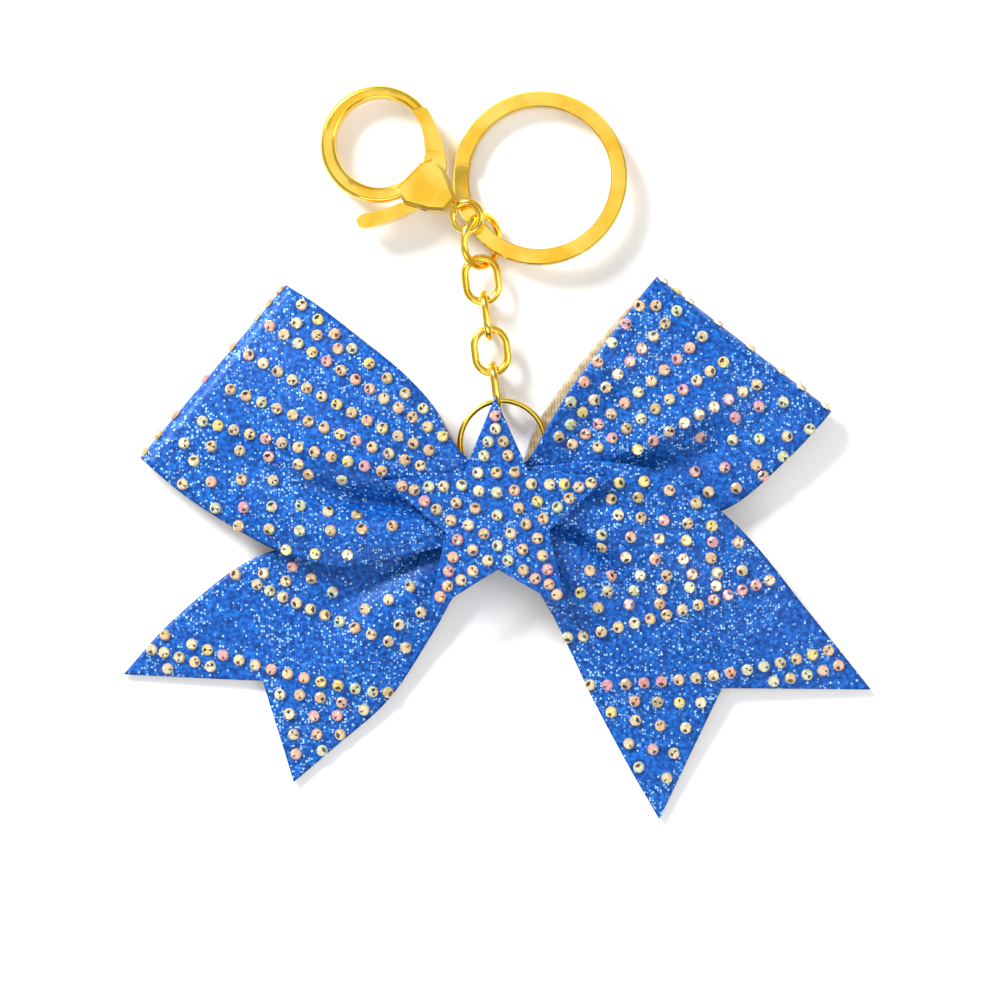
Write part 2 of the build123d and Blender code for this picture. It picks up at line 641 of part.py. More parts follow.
roll = radians(CONNECTOR_ROLL)
tilt = radians(CONNECTOR_TILT)
ring_long = chain_dir * cos(roll) + UP * sin(roll)
ring_left = UP.cross(ring_long).normalized()
ring_lift = ring_long.cross(ring_left)
ring_short = ring_left * cos(tilt) + ring_lift * sin(tilt)
connector_seat = Plane(origin=CONNECTOR_AT, x_dir=ring_long, z_dir=ring_long.cross(ring_short))
connector = wire_ring(CONNECTOR_RADIUS, CONNECTOR_WIRE, CONNECTOR_CUT, -60)
keep("connector_ring", connector.moved(connector_seat.location))

# split ring: two flat coils and the step that joins them
split_mid = (SPLIT_OUTER + SPLIT_INNER) / 2
split_width = SPLIT_OUTER - SPLIT_INNER
section = Plane(origin=(split_mid, 0, 0), x_dir=(1, 0, 0), z_dir=(0, -1, 0)) * Rectangle(split_width, COIL_T)
section = chamfer(section.vertices(), COIL_EDGE)
sweep_angle = 360 - COIL_STEP - 1.5
low_coil = revolve(section, Axis.Z, sweep_angle).rotate(Axis.Z, COIL_START + COIL_STEP + 1.5)
low_coil = low_coil.moved(Location((0, 0, -COIL_PITCH / 2)))
top_coil = revolve(section, Axis.Z, sweep_angle).rotate(Axis.Z, COIL_START + COIL_STEP)
top_coil = top_coil.moved(Location((0, 0, COIL_PITCH / 2)))
cuts = []
for k in range(7):
    t = k / 6
    rise = COIL_PITCH * ((1 - cos(pi * t)) / 2 - 0.5)
    cuts.append(section.rotate(Axis.Z, COIL_START + COIL_STEP * t).moved(Location((0, 0, rise))))
step_part = loft(cuts, ruled=True)
split = low_coil + step_part + top_coil
azimuth = radians(SPLIT_TILT_TOWARDS)
up_slope = radians(SPLIT_TILT)
split_x = Vector(cos(azimuth) * cos(up_slope), sin(azimuth) * cos(up_slope), sin(up_slope))
split_y = Vector(-sin(azimuth), cos(azimuth), 0)
split_seat = Plane(origin=SPLIT_AT, x_dir=split_x, z_dir=split_x.cross(split_y))
split = split.rotate(Axis.Z, -SPLIT_TILT_TOWARDS)
keep("split_ring", split.moved(split_seat.location))

# clasp, drawn with its loop centre at the origin and the eye along +X
heading = radians(CLASP_HEADING)
dip = radians(CLASP_TILT)
clasp_u = Vector(cos(heading) * cos(dip), sin(heading) * cos(dip), sin(dip))
clasp_w = Vector(-sin(heading), cos(heading), 0)
clasp_n = clasp_u.cross(clasp_w)
clasp_seat = Plane(origin=EYE_AT - clasp_u * EYE_OUT, x_dir=clasp_u, z_dir=clasp_n)


def flat_piece(points, thickness):
    return extrude(make_face(Polyline(*points, close=True)), amount=thickness / 2, both=True)


BODY_OUTLINE = [
    (7.3, -4.4), (10.2, -5.3), (14.2, -3.5), (BODY_END, -1.8), (BODY_END, 1.1), (11.6, 3.6), (8.9, 3.7), (8.0, 2.2),
    (7.7, 0), (7.6, -2)]
hook = Cylinder(HOOK_OUTER, HOOK_T).moved(Location((-0.1, -0.35, 0)))
hook = fillet(hook.edges(), 0.75)
hook = hook - Cylinder(HOOK_OPENING, 2 * HOOK_T)
hook = fillet(hook.edges().filter_by(lambda e: abs((e @ 0.5 - Vector(0, 0, (e @ 0.5).Z)).length - HOOK_OPENING) < 0.01), 0.6)
GATE_MOUTH = [(-1, 0), (0.2, 7.6), (1.1, 8.8), (2.1, 9.95), (4.5, 14), (20, 14), (20, 2.2), (7, 2.2)]
hook = hook - flat_piece(GATE_MOUTH, 2 * HOOK_T)
body = flat_piece(BODY_OUTLINE, BODY_T)
body = chamfer(body.edges().group_by(Axis.Z)[-1] + body.edges().group_by(Axis.Z)[0], 0.5)
clasp = hook + body
slot_back = BODY_END - 2.6
SLOT_OUTLINE = [
    (8.3, -1.0), (slot_back, -2.2), (slot_back, 2.0), (12.6, 9), (4, 9), (6.6, 2.6), (7.4, 1.0)]
TAB_SLOT = [(9.0, -9), (9.2, -3.2), (8.3, -1.0), (slot_back, -1.0), (slot_back, -9)]
clasp = clasp - flat_piece(SLOT_OUTLINE, SLOT_T) - flat_piece(TAB_SLOT, SLOT_T)
pivot = Location((PIVOT_U, 0, 0))
clasp = clasp - Cylinder(PIN_RADIUS, 2 * BODY_T).moved(pivot)
stem_turn = (0, 90, 0)
bore = Cylinder(STEM_RADIUS + RUN_GAP, 6, rotation=stem_turn).moved(Location((slot_back + 2.9, 0, 0)))
clasp = clasp - bore
keep("clasp_body", clasp.moved(clasp_seat.location))

keep("gate_pin", Cylinder(PIN_RADIUS, BODY_T).moved(pivot).moved(clasp_seat.location))

hub_low = -SLOT_T / 2 + RUN_GAP
LEVER_OUTLINE = [
    (0.62, 7.75), (3.3, 6.9), (5.2, 5.6), (6.9, 3.9), (8.3, 1.4), (8.9, 0.0), (9.6, -1.6), (10.0, -3.6),
    (9.6, -5.4), (8.4, -8.0), (6.4, -10.6), (5.6, -11.8), (5.7, -12.9), (6.7, -13.4), (7.8, -13.0),
    (9.2, -10.9), (10.9, -8.0), (12.1, -5.4), (12.4, -3.0), (12.5, -1.2), (12.5, 0.9), (12.2, 2.6),
    (11.6, 3.9), (9.8, 5.8), (7.6, 7.4), (4.8, 8.8), (2.3, 9.75)]
lever = extrude(make_face(Polyline(*LEVER_OUTLINE, close=True)), amount=LEVER_T)
lever = lever.moved(Location((0, 0, hub_low)))
thick = flat_piece(LEVER_OUTLINE, HOOK_T)
KEEP_OUT = 5.75
thick = thick - Cylinder(KEEP_OUT, 2 * HOOK_T).moved(pivot)
lever = lever + thick
lever = lever - Cylinder(PIN_RADIUS + RUN_GAP, 2 * BODY_T).moved(pivot)
keep("clasp_gate", lever.moved(clasp_seat.location))

coil_low = hub_low + LEVER_T + SPRING_WIRE + RUN_GAP
coil_rise = SLOT_T / 2 - SPRING_WIRE - RUN_GAP - coil_low
helix = Helix(pitch=coil_rise, height=coil_rise, radius=SPRING_RADIUS)
coil_end = Plane(origin=helix @ 0, z_dir=helix % 0)
spring = sweep(coil_end * Circle(SPRING_WIRE), path=helix)
spring = spring.moved(Location((PIVOT_U, 0, coil_low)))
keep("gate_spring", spring.moved(clasp_seat.location))

eye_section = Plane(origin=(EYE_RADIUS, 0, 0), x_dir=(1, 0, 0), z_dir=(0, 1, 0)) * Circle(EYE_WIRE)
eye = revolve(eye_section, Axis.Z, 360)
stem_from = slot_back - 0.1
stem_to = EYE_OUT - EYE_RADIUS
stem_length = stem_to - stem_from
stem = Cylinder(STEM_RADIUS, stem_length, rotation=stem_turn).moved(Location((-EYE_OUT + (stem_from + stem_to) / 2, 0, 0)))
head_at = slot_back - RUN_GAP - STEM_HEAD_T / 2
head = Cylinder(STEM_HEAD_RADIUS, STEM_HEAD_T, rotation=stem_turn).moved(Location((head_at - EYE_OUT, 0, 0)))
eye = (eye + stem + head).rotate(Axis.X, EYE_SWIVEL)
keep("swivel_eye", eye.moved(Location((EYE_OUT, 0, 0))).moved(clasp_seat.location))

for name, shape in made.items():
    export_step(shape, "parts/" + name + ".step")
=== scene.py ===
import math
import random

import bmesh
import bpy
from mathutils import Matrix, Vector, noise
from mathutils.bvhtree import BVHTree


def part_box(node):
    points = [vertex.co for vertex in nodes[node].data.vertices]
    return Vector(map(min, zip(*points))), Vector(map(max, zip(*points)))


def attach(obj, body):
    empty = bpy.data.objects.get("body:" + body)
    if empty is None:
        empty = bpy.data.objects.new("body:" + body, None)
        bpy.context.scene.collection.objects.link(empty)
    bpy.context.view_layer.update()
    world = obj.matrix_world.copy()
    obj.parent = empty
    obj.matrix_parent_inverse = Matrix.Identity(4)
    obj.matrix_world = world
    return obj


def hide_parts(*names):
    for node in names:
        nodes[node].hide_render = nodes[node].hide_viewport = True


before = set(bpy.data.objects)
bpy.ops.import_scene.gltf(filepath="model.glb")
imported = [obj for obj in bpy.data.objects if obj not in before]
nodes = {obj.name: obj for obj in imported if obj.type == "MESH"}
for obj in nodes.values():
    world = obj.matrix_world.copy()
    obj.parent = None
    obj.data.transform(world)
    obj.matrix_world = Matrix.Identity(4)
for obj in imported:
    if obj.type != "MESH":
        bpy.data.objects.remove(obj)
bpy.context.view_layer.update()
MM = 0.001

# The middle of the star, which the ribbon outlines are measured from.
pad_low, pad_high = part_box("star_pad")
BOW_X = (pad_low[0] + pad_high[0]) / 2 / MM
BOW_Y = (pad_low[1] + pad_high[1]) / 2 / MM

FACE_T = 0.45
BACKING_T = 0.35
RIBBON_T = FACE_T + BACKING_T
UNDER_Z = 4.87
OVER_Z = 6.22
FOLD_LOW_Z = 0.47
FOLD_TOP_Z = 4.67
FOLD_REACH = 0.038
STATIONS = [0.0, 0.05, 0.15, 0.3, 0.45, 0.65, 0.85, 1.0]


# ------------------------------------------------------------------ materials
def linear(code):
    """sRGB hex to the linear colour a shader wants."""
    out = []
    for i in (0, 2, 4):
        c = int(code[i:i + 2], 16) / 255
        out.append(c / 12.92 if c <= 0.04045 else ((c + 0.055) / 1.055) ** 2.4)
    return (*out, 1.0)


def add(tree, kind, settings=None, stops=None, **sockets):
    """Adds a node with its settings; each socket gets a value or a link from another node's output."""
    n = tree.nodes.new("ShaderNode" + kind)
    for key, value in (settings or {}).items():
        setattr(n, key, value)
    if stops:
        elements = n.color_ramp.elements
        while len(elements) < len(stops):
            elements.new(0.5)
        for element, (position, code) in zip(elements, stops):
            element.position = position
            element.color = linear(code)
    for key, value in sockets.items():
        socket = n.inputs[int(key[1:])] if key[1:].isdigit() else n.inputs[key]
        if isinstance(value, bpy.types.NodeSocket):
            tree.links.new(value, socket)
        else:
            socket.default_value = value
    return n


def start(name, metallic, roughness):
    """A new material, its tree, its shader and the object's own coordinates."""
    material = bpy.data.materials.new(name)
    material.use_nodes = True
    tree = material.node_tree
    shader = tree.nodes["Principled BSDF"]
    shader.inputs["Metallic"].default_value = metallic
    shader.inputs["Roughness"].default_value = roughness
    return material, tree, shader, add(tree, "TexCoord").outputs["Object"]


def per(mm):
    """Pattern scale that repeats about once in so many millimetres."""
    return 1 / (mm * MM)


def glitter_film(name, deep, base, light, most, least):
    """Polyester glitter film bonded to the ribbon: blue ground, pale flakes that lie in clouds."""
    material, tree, shader, place = start(name, 0.1, 0.42)
    cloud = add(tree, "TexNoise", Vector=place, Scale=per(7.0), Detail=3.0)
    grain = add(tree, "TexNoise", Vector=place, Scale=per(0.7), Detail=2.0)
    ground = add(tree, "ValToRGB", stops=[(0.32, deep), (0.5, base), (0.7, light)], i0=grain.outputs[0])
    # real flakes are 0.2 mm; they are drawn at 0.45 mm so that they still show
    flakes = add(tree, "TexVoronoi", Vector=place, Scale=per(0.45))
    cell = add(tree, "SeparateColor", i0=flakes.outputs["Color"])
    limit = add(tree, "MapRange", i0=cloud.outputs[0], i1=0.36, i2=0.66, i3=least, i4=most)
    chosen = add(tree, "Math", {"operation": "GREATER_THAN"}, i0=cell.outputs[0], i1=limit.outputs[0])
    core = add(tree, "Math", {"operation": "LESS_THAN"}, i0=flakes.outputs["Distance"], i1=0.46)
    spot = add(tree, "Math", {"operation": "MULTIPLY"}, i0=chosen.outputs[0], i1=core.outputs[0])
    amount = add(tree, "Math", {"operation": "MULTIPLY"}, i0=spot.outputs[0], i1=cell.outputs[1])
    colour = add(tree, "Mix", {"data_type": "RGBA"}, i0=amount.outputs[0], i6=ground.outputs[0], i7=linear("a4d2fa"))
    tree.links.new(colour.outputs[2], shader.inputs["Base Color"])
    shader.inputs["Specular IOR Level"].default_value = 0.28
    tilt = add(tree, "Bump", Strength=0.35, Distance=0.00015, Height=cell.outputs[2])
    tree.links.new(tilt.outputs[0], shader.inputs["Normal"])
    return material


def woven_backing():
    """Polyester ribbon, plain weave: matt beige with fine ribs along it."""
    material, tree, shader, place = start("woven_polyester_backing", 0.0, 0.82)
    grain = add(tree, "TexNoise", Vector=place, Scale=per(1.2), Detail=3.0)
    colour = add(tree, "ValToRGB", stops=[(0.3, "9c8a6c"), (0.5, "bdab8b"), (0.7, "d2c3a6")], i0=grain.outputs[0])
    tree.links.new(colour.outputs[0], shader.inputs["Base Color"])
    # ribs are 0.3 mm apart in the real weave; a wave's bands repeat 3.2 times in its scale
    ribs = add(tree, "TexWave", Vector=place, Scale=per(0.5) / 3.2, Distortion=0.6)
    relief = add(tree, "Bump", Strength=0.5, Distance=0.0001, Height=ribs.outputs["Fac"])
    tree.links.new(relief.outputs[0], shader.inputs["Normal"])
    return material


def plated_metal(name, dark, light, roughness):
    """Electroplated and polished metal: its tone drifts a little and it carries hairline scratches."""
    material, tree, shader, place = start(name, 1.0, roughness)
    tone = add(tree, "TexNoise", Vector=place, Scale=per(6.0), Detail=2.0)
    colour = add(tree, "ValToRGB", stops=[(0.35, dark), (0.65, light)], i0=tone.outputs[0])
    tree.links.new(colour.outputs[0], shader.inputs["Base Color"])
    hairline = add(tree, "TexNoise", Vector=place, Scale=per(0.5), Detail=4.0)
    relief = add(tree, "Bump", Strength=0.04, Distance=0.00006, Height=hairline.outputs[0])
    tree.links.new(relief.outputs[0], shader.inputs["Normal"])
    return material


def coated_crystal():
    """Cut glass with a rainbow coat: each facet carries its own tint, its painted shade and, on some facets, a painted
    dark reflection, as a colour attribute.
    """
    material, tree, shader, place = start("coated_cut_glass", 0.3, 0.14)
    tint = add(tree, "VertexColor", {"layer_name": "facet"})
    tree.links.new(tint.outputs[0], shader.inputs["Base Color"])
    shader.inputs["Coat Weight"].default_value = 0.7
    shader.inputs["Coat Roughness"].default_value = 0.04
    return material


def fibre(name, dark, light, gap):
    """Thread or felt: fibres a set distance apart, with painted shade between them, since the colour ramp follows the
    same noise as the bump relief.
    """
    material, tree, shader, place = start(name, 0.0, 0.85)
    strand = add(tree, "TexNoise", Vector=place, Scale=per(gap), Detail=4.0, Distortion=1.5)
    # Darker where the relief is low: painted shade in the gaps between fibres.
    colour = add(tree, "ValToRGB", stops=[(0.35, dark), (0.65, light)], i0=strand.outputs[0])
    tree.links.new(colour.outputs[0], shader.inputs["Base Color"])
    relief = add(tree, "Bump", Strength=0.5, Distance=0.0002, Height=strand.outputs[0])
    tree.links.new(relief.outputs[0], shader.inputs["Normal"])
    return material


GLITTER = glitter_film("blue_glitter_film", "023476", "064ca4", "1670cc", 0.42, 0.92)
STAR_GLITTER = glitter_film("blue_glitter_film_star", "023476", "064ca4", "1670cc", 0.5, 0.94)
BACKING = woven_backing()
GOLD = plated_metal("polished_gold_plate", "f6c43a", "ffde68", 0.18)
STEEL = plated_metal("spring_steel_wire", "8f8f8f", "c8c8c8", 0.3)
CRYSTAL = coated_crystal()
# The thread's near-black colour is partly painted shade: it stands for the shadowed wrap and pleats where the wire
# ring leaves the pinch.
THREAD_AND_PAINTED_SHADE = fibre("waxed_nylon_thread_and_painted_shade", "05060a", "15182a", 0.35)
FELT = fibre("wool_felt", "0d1a40", "1d2f66", 0.5)


# ---------------------------------------------------------- the ribbon lengths
LEFT_LOW = [(-0.2, -4.6), (-12, -6.0), (-20, -7.6), (-28, -8.9), (-39, -5.4), (-52.6, 2.6), (-61.2, 9.6)]
LEFT_HIGH = [(-0.2, 7.8), (-7.4, 12.2), (-11, 18.8), (-16.7, 24.9), (-23.9, 30.6), (-31, 36.2), (-36.1, 39.4)]
LEFT_BACK_LOW = [(-0.2, -4.6), (-9, -4.2), (-19, -3.0), (-28.5, -1.2), (-41, 1.8), (-53.2, 6.0), (-61.2, 9.6)]
LEFT_BACK_HIGH = [(-0.2, 7.8), (-6.7, 11.5), (-10.6, 18.2), (-16.2, 24.4), (-23.5, 30.6), (-31.1, 36.3), (-36.1, 39.4)]
RIGHT_LOW = [(0.2, -4.6), (9, -4.5), (19, -3.5), (28, -1.8), (40, 1.4), (50.5, 10.2), (57.4, 17.6)]
RIGHT_HIGH = [(0.2, 7.8), (5.6, 9.9), (8.8, 15.3), (12.6, 21.6), (18, 28.8), (23.4, 36), (27.3, 40.8)]
RIGHT_BACK_LOW = [(0.2, -4.6), (9, -3.6), (19, -1.5), (28, 1.2), (40, 5.6), (51, 12.8), (57.4, 17.6)]
RIGHT_BACK_HIGH = [(0.2, 7.8), (4.6, 9.6), (6.4, 14.8), (10.2, 20.9), (16.2, 28.4), (22.8, 36), (27.3, 40.8)]
LEFT_TAIL_LOW = [(-0.2, -4.6), (-4, -9), (-7.5, -14), (-10.9, -20), (-18.6, -31.6), (-28.2, -40.2), (-35.1, -46.1)]
LEFT_TAIL_HIGH = [(-0.2, 7.8), (-8, 5), (-18, 0), (-29, -3.5), (-43, -8), (-56, -18.2), (-64.5, -27.5)]
RIGHT_TAIL_LOW = [(0.2, -4.6), (3.5, -8.5), (7.2, -13.2), (10.8, -19.6), (16.2, -31), (22.9, -43.6), (28, -52.5)]
RIGHT_TAIL_HIGH = [(0.2, 7.8), (9, 8.6), (19, 9.2), (29.8, 6.4), (41.8, -2.4), (54.6, -17.8), (64.5, -30.1)]
LEFT_NOTCH = (-40.4, -28.6)
RIGHT_NOTCH = (38.7, -29.8)


def from_pinch(values):
    """Adds the station where a length leaves the bound thread."""
    first = values[0]
    if isinstance(first, tuple):
        side = 1 if first[0] > 0 else -1
        return [first, (side * 2.9, first[1] * 1.03)] + values[1:]
    return [first, first] + values[1:]


def through(values, u):
    """Smooth curve through the station values."""
    last = len(STATIONS) - 1
    i = 0
    while i < last - 1 and u > STATIONS[i + 1]:
        i += 1
    span = STATIONS[i + 1] - STATIONS[i]
    t = (u - STATIONS[i]) / span
    slopes = []
    for k in (i, i + 1):
        a = max(k - 1, 0)
        b = min(k + 1, last)
        slopes.append((values[b] - values[a]) / (STATIONS[b] - STATIONS[a]))
    rise = (2 * t**3 - 3 * t**2 + 1) * values[i] + (3 * t**2 - 2 * t**3) * values[i + 1]
    return rise + span * ((t**3 - 2 * t**2 + t) * slopes[0] + (t**3 - t**2) * slopes[1])


def bump_at(v, centre, width):
    return math.exp(-(((v - centre) / width) ** 2))


class Panel:
    """One ribbon length: plan outline, edge heights, and the folds that fade outwards."""

    def __init__(self, low, high, low_z, high_z, puff, bend, folds=(), wrinkle=1.0):
        self.low = from_pinch(low)
        self.high = from_pinch(high)
        self.low_z = from_pinch(low_z)
        self.high_z = from_pinch(high_z)
        self.puff = from_pinch(puff)
        self.bend = bend
        self.wrinkle = wrinkle
        # each fold: where it runs at the pinch and outside, its width, its depth along the length
        self.folds = [(a, b, width, from_pinch(depth)) for a, b, width, depth in folds]

    def point(self, u, v):
        lx = through([p[0] for p in self.low], u)
        ly = through([p[1] for p in self.low], u)
        hx = through([p[0] for p in self.high], u)
        hy = through([p[1] for p in self.high], u)
        low = through(self.low_z, u)
        high = through(self.high_z, u)
        share = v**self.bend if self.bend >= 1 else math.sin(math.pi * v / 2)
        z = low + (high - low) * share + through(self.puff, u) * math.sin(math.pi * v)
        for a, b, width, depth in self.folds:
            z += through(depth, u) * bump_at(v, a + (b - a) * u, width)
        x = lx + (hx - lx) * v
        y = ly + (hy - ly) * v
        ripple = noise.noise(Vector((x, y, 3.0)) * 0.09) * 0.35 + noise.noise(Vector((x, y, 7.0)) * 0.22) * 0.12
        return Vector((x, y, z + self.wrinkle * ripple * min(1.0, u * 4) * min(1.0, (1 - u) * 6)))


LEFT_FRONT = Panel(
    LEFT_LOW, LEFT_HIGH,
    [OVER_Z, 6.4, 6.0, 5.4, 4.6, 4.5, FOLD_TOP_Z],
    [OVER_Z, 7.0, 7.4, 7.4, 6.6, 5.4, FOLD_TOP_Z],
    [0, 0.2, 0.9, 2.0, 2.4, 1.2, 0], 1,
    [(0.42, 0.24, 0.075, [0, -1.0, -3.2, -3.5, -1.7, -0.2, 0]),
     (0.16, 0.08, 0.11, [0, 0.5, 1.3, 1.5, 0.7, 0, 0]),
     (0.62, 0.5, 0.1, [0, 0.3, 0.5, 0.7, 0.4, 0, 0]),
     (0.84, 0.8, 0.09, [0, -0.2, -0.5, -0.4, -0.1, 0, 0])])
RIGHT_FRONT = Panel(
    RIGHT_LOW, RIGHT_HIGH,
    [UNDER_Z, 4.2, 3.3, 3.1, 3.5, 4.3, FOLD_TOP_Z],
    [UNDER_Z, 5.8, 7.0, 8.0, 8.0, 6.2, FOLD_TOP_Z],
    [0, 0, 0.1, 0.4, 1.5, 1.0, 0], 2,
    [(0.5, 0.2, 0.08, [0, 0, -0.3, -0.9, -1.5, -0.3, 0]),
     (0.62, 0.42, 0.09, [0, 0.1, 0.4, 1.0, 1.1, 0.3, 0]),
     (0.85, 0.7, 0.1, [0, 0, -0.3, -0.5, -0.4, -0.1, 0])])
LEFT_TAIL = Panel(
    LEFT_TAIL_LOW, LEFT_TAIL_HIGH,
    [UNDER_Z, 4.2, 3.4, 2.4, 1.2, 0.8, 0.6],
    [UNDER_Z, 4.3, 3.6, 2.6, 1.6, 0.9, 0.6],
    [0, 0, 0.2, 0.5, 0.6, 0.3, 0], 1,
    [(0.6, 0.5, 0.09, [0, -0.4, -1.0, -1.1, -0.4, 0, 0]),
     (0.3, 0.3, 0.12, [0, 0.3, 0.8, 1.0, 0.6, 0.1, 0])])
RIGHT_TAIL = Panel(
    RIGHT_TAIL_LOW, RIGHT_TAIL_HIGH,
    [OVER_Z, 6.3, 5.4, 3.8, 1.8, 0.9, 0.6],
    [OVER_Z, 7.2, 7.6, 7.2, 5.0, 1.9, 0.8],
    [0, 0.1, 0.2, 0.4, 0.6, 0.5, 0.2], 0,
    [(0.46, 0.42, 0.045, [0, -0.8, -2.4, -1.9, -0.4, 0, 0]),
     (0.6, 0.62, 0.09, [0, 0.1, 0.6, 0.8, 0.4, 0, 0]),
     (0.8, 0.82, 0.07, [0, -0.2, -0.7, -0.8, -0.4, 0, 0]),
     (0.24, 0.2, 0.08, [0, 0.2, 0.6, 0.6, 0.3, 0, 0]),
     (0.08, 0.06, 0.05, [0, -0.3, -0.8, -0.8, -0.2, 0, 0])])
STILL = [0, 0, 0, 0, 0, 0, 0]
FLAT = [1.45, 0.9, FOLD_LOW_Z, FOLD_LOW_Z, FOLD_LOW_Z, FOLD_LOW_Z, FOLD_LOW_Z]
LEFT_REAR = Panel(LEFT_BACK_LOW, LEFT_BACK_HIGH, FLAT, FLAT, STILL, 1, wrinkle=0)
RIGHT_REAR = Panel(RIGHT_BACK_LOW, RIGHT_BACK_HIGH, FLAT, FLAT, STILL, 1, wrinkle=0)


def loop_point(front, rear, s, v):
    """s runs 0 to 0.45 out along the front, 0.55 to 1 back along the rear, and round the fold between."""
    start = 1 - FOLD_REACH
    if s < 0.45:
        return front.point(start * s / 0.45, v)
    if s > 0.55:
        return rear.point(start * (1 - s) / 0.45, v)
    a = math.pi / 2 - (s - 0.45) / 0.1 * math.pi
    u = start + FOLD_REACH * math.cos(a)
    f = front.point(u, v)
    r = rear.point(u, v)
    top = front.point(start, v).z
    low = rear.point(start, v).z
    share = (1 - math.sin(a)) / 2
    p = f.lerp(r, share)
    p.z = (top + low) / 2 + (top - low) / 2 * math.sin(a)
    return p


ACROSS = 48


def ribbon(name, along, shape, cut_to, cut=None):
    """Ribbon length: a grid bent to shape, its fishtail cut out, then given its thickness inwards."""
    bm = bmesh.new()
    bmesh.ops.create_grid(bm, x_segments=along, y_segments=ACROSS, size=0.5)
    for vert in bm.verts:
        p = shape(vert.co.x + 0.5, vert.co.y + 0.5)
        vert.co = Vector(((p.x + BOW_X) * MM, (p.y + BOW_Y) * MM, p.z * MM))
    if cut:
        cut_fishtail(bm, *cut)
    bm.normal_update()
    front = [f for f in bm.faces if f.calc_center_median().z > 1.5 * MM]
    if sum(f.normal.z * f.calc_area() for f in front) < 0:
        bmesh.ops.reverse_faces(bm, faces=bm.faces[:])
        bm.normal_update()
    for vert in bm.verts:
        vert.co += vert.normal * FACE_T * MM
    bm.normal_update()
    surface = BVHTree.FromBMesh(bm)
    for face in bm.faces:
        face.smooth = True
    mesh = bpy.data.meshes.new(name)
    bm.to_mesh(mesh)
    bm.free()
    mesh.materials.append(GLITTER)
    mesh.materials.append(BACKING)
    o = bpy.data.objects.new(name, mesh)
    bpy.context.scene.collection.objects.link(o)
    wall = o.modifiers.new("wall", "SOLIDIFY")
    wall.thickness = RIBBON_T * MM
    wall.offset = -1
    wall.material_offset = 1
    wall.material_offset_rim = 0
    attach(o, "bow")
    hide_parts(cut_to + "_face", cut_to + "_backing")
    return o, surface


def cut_fishtail(bm, low_end, notch, high_end):
    """Takes out the wedge between two straight cuts that meet at the notch."""
    tip = Vector(((notch[0] + BOW_X) * MM, (notch[1] + BOW_Y) * MM, 0))
    sides = []
    for end in (low_end, high_end):
        side = Vector(((end[0] + BOW_X) * MM, (end[1] + BOW_Y) * MM, 0)) - tip
        across = Vector((-side.y, side.x, 0)).normalized()
        bmesh.ops.bisect_plane(bm, geom=bm.verts[:] + bm.edges[:] + bm.faces[:], plane_co=tip, plane_no=across)
        sides.append(side)
    a, b = sides
    turn = 1 if a.x * b.y - a.y * b.x > 0 else -1
    wedge = []
    for face in bm.faces:
        c = face.calc_center_median() - tip
        if (a.x * c.y - a.y * c.x) * turn > 0 and (c.x * b.y - c.y * b.x) * turn > 0:
            wedge.append(face)
    bmesh.ops.delete(bm, geom=wedge, context="FACES")


surfaces = {}
LEFT_CUT = (LEFT_TAIL_LOW[-1], LEFT_NOTCH, LEFT_TAIL_HIGH[-1])
RIGHT_CUT = (RIGHT_TAIL_LOW[-1], RIGHT_NOTCH, RIGHT_TAIL_HIGH[-1])
left_loop, surfaces["left_loop"] = ribbon(
    "ribbon_left_loop", 170, lambda s, v: loop_point(LEFT_FRONT, LEFT_REAR, s, v), "left_loop")
right_loop, surfaces["right_loop"] = ribbon(
    "ribbon_right_loop", 170, lambda s, v: loop_point(RIGHT_FRONT, RIGHT_REAR, s, v), "right_loop")
left_tail, surfaces["left_tail"] = ribbon("ribbon_left_tail", 100, LEFT_TAIL.point, "left_tail", LEFT_CUT)
right_tail, surfaces["right_tail"] = ribbon("ribbon_right_tail", 100, RIGHT_TAIL.point, "right_tail", RIGHT_CUT)

# --------------------------------------------------------------------- stones
random.seed(7)
STONE_R = 1.05
CROWN = ["e8cfa2", "d8b78c", "e9b296", "e6d47e", "d4c4a2", "dea2a8", "ced6b0", "efdfb8", "c9b282", "e2c294"]
# Colours for painted dark reflections on a run of each stone's fan facets; the glass itself is clear.
PAINTED_REFLECTION_DARKS = ["3a2a26", "584a2c", "2c3850", "643c34"]


def stone_centres(name):
    """Middle of each separate stone in a CAD node."""
    bm = bmesh.new()
    bm.from_mesh(nodes[name].data)
    bmesh.ops.remove_doubles(bm, verts=bm.verts[:], dist=1e-6)
    seen = set()
    centres = []
    for vert in bm.verts:
        if vert in seen:
            continue
        group = [vert]
        seen.add(vert)
        for v in group:
            for edge in v.link_edges:
                other = edge.other_vert(v)
                if other not in seen:
                    seen.add(other)
                    group.append(other)
        centres.append(sum((v.co for v in group), Vector()) / len(group))
    bm.free()
    return centres


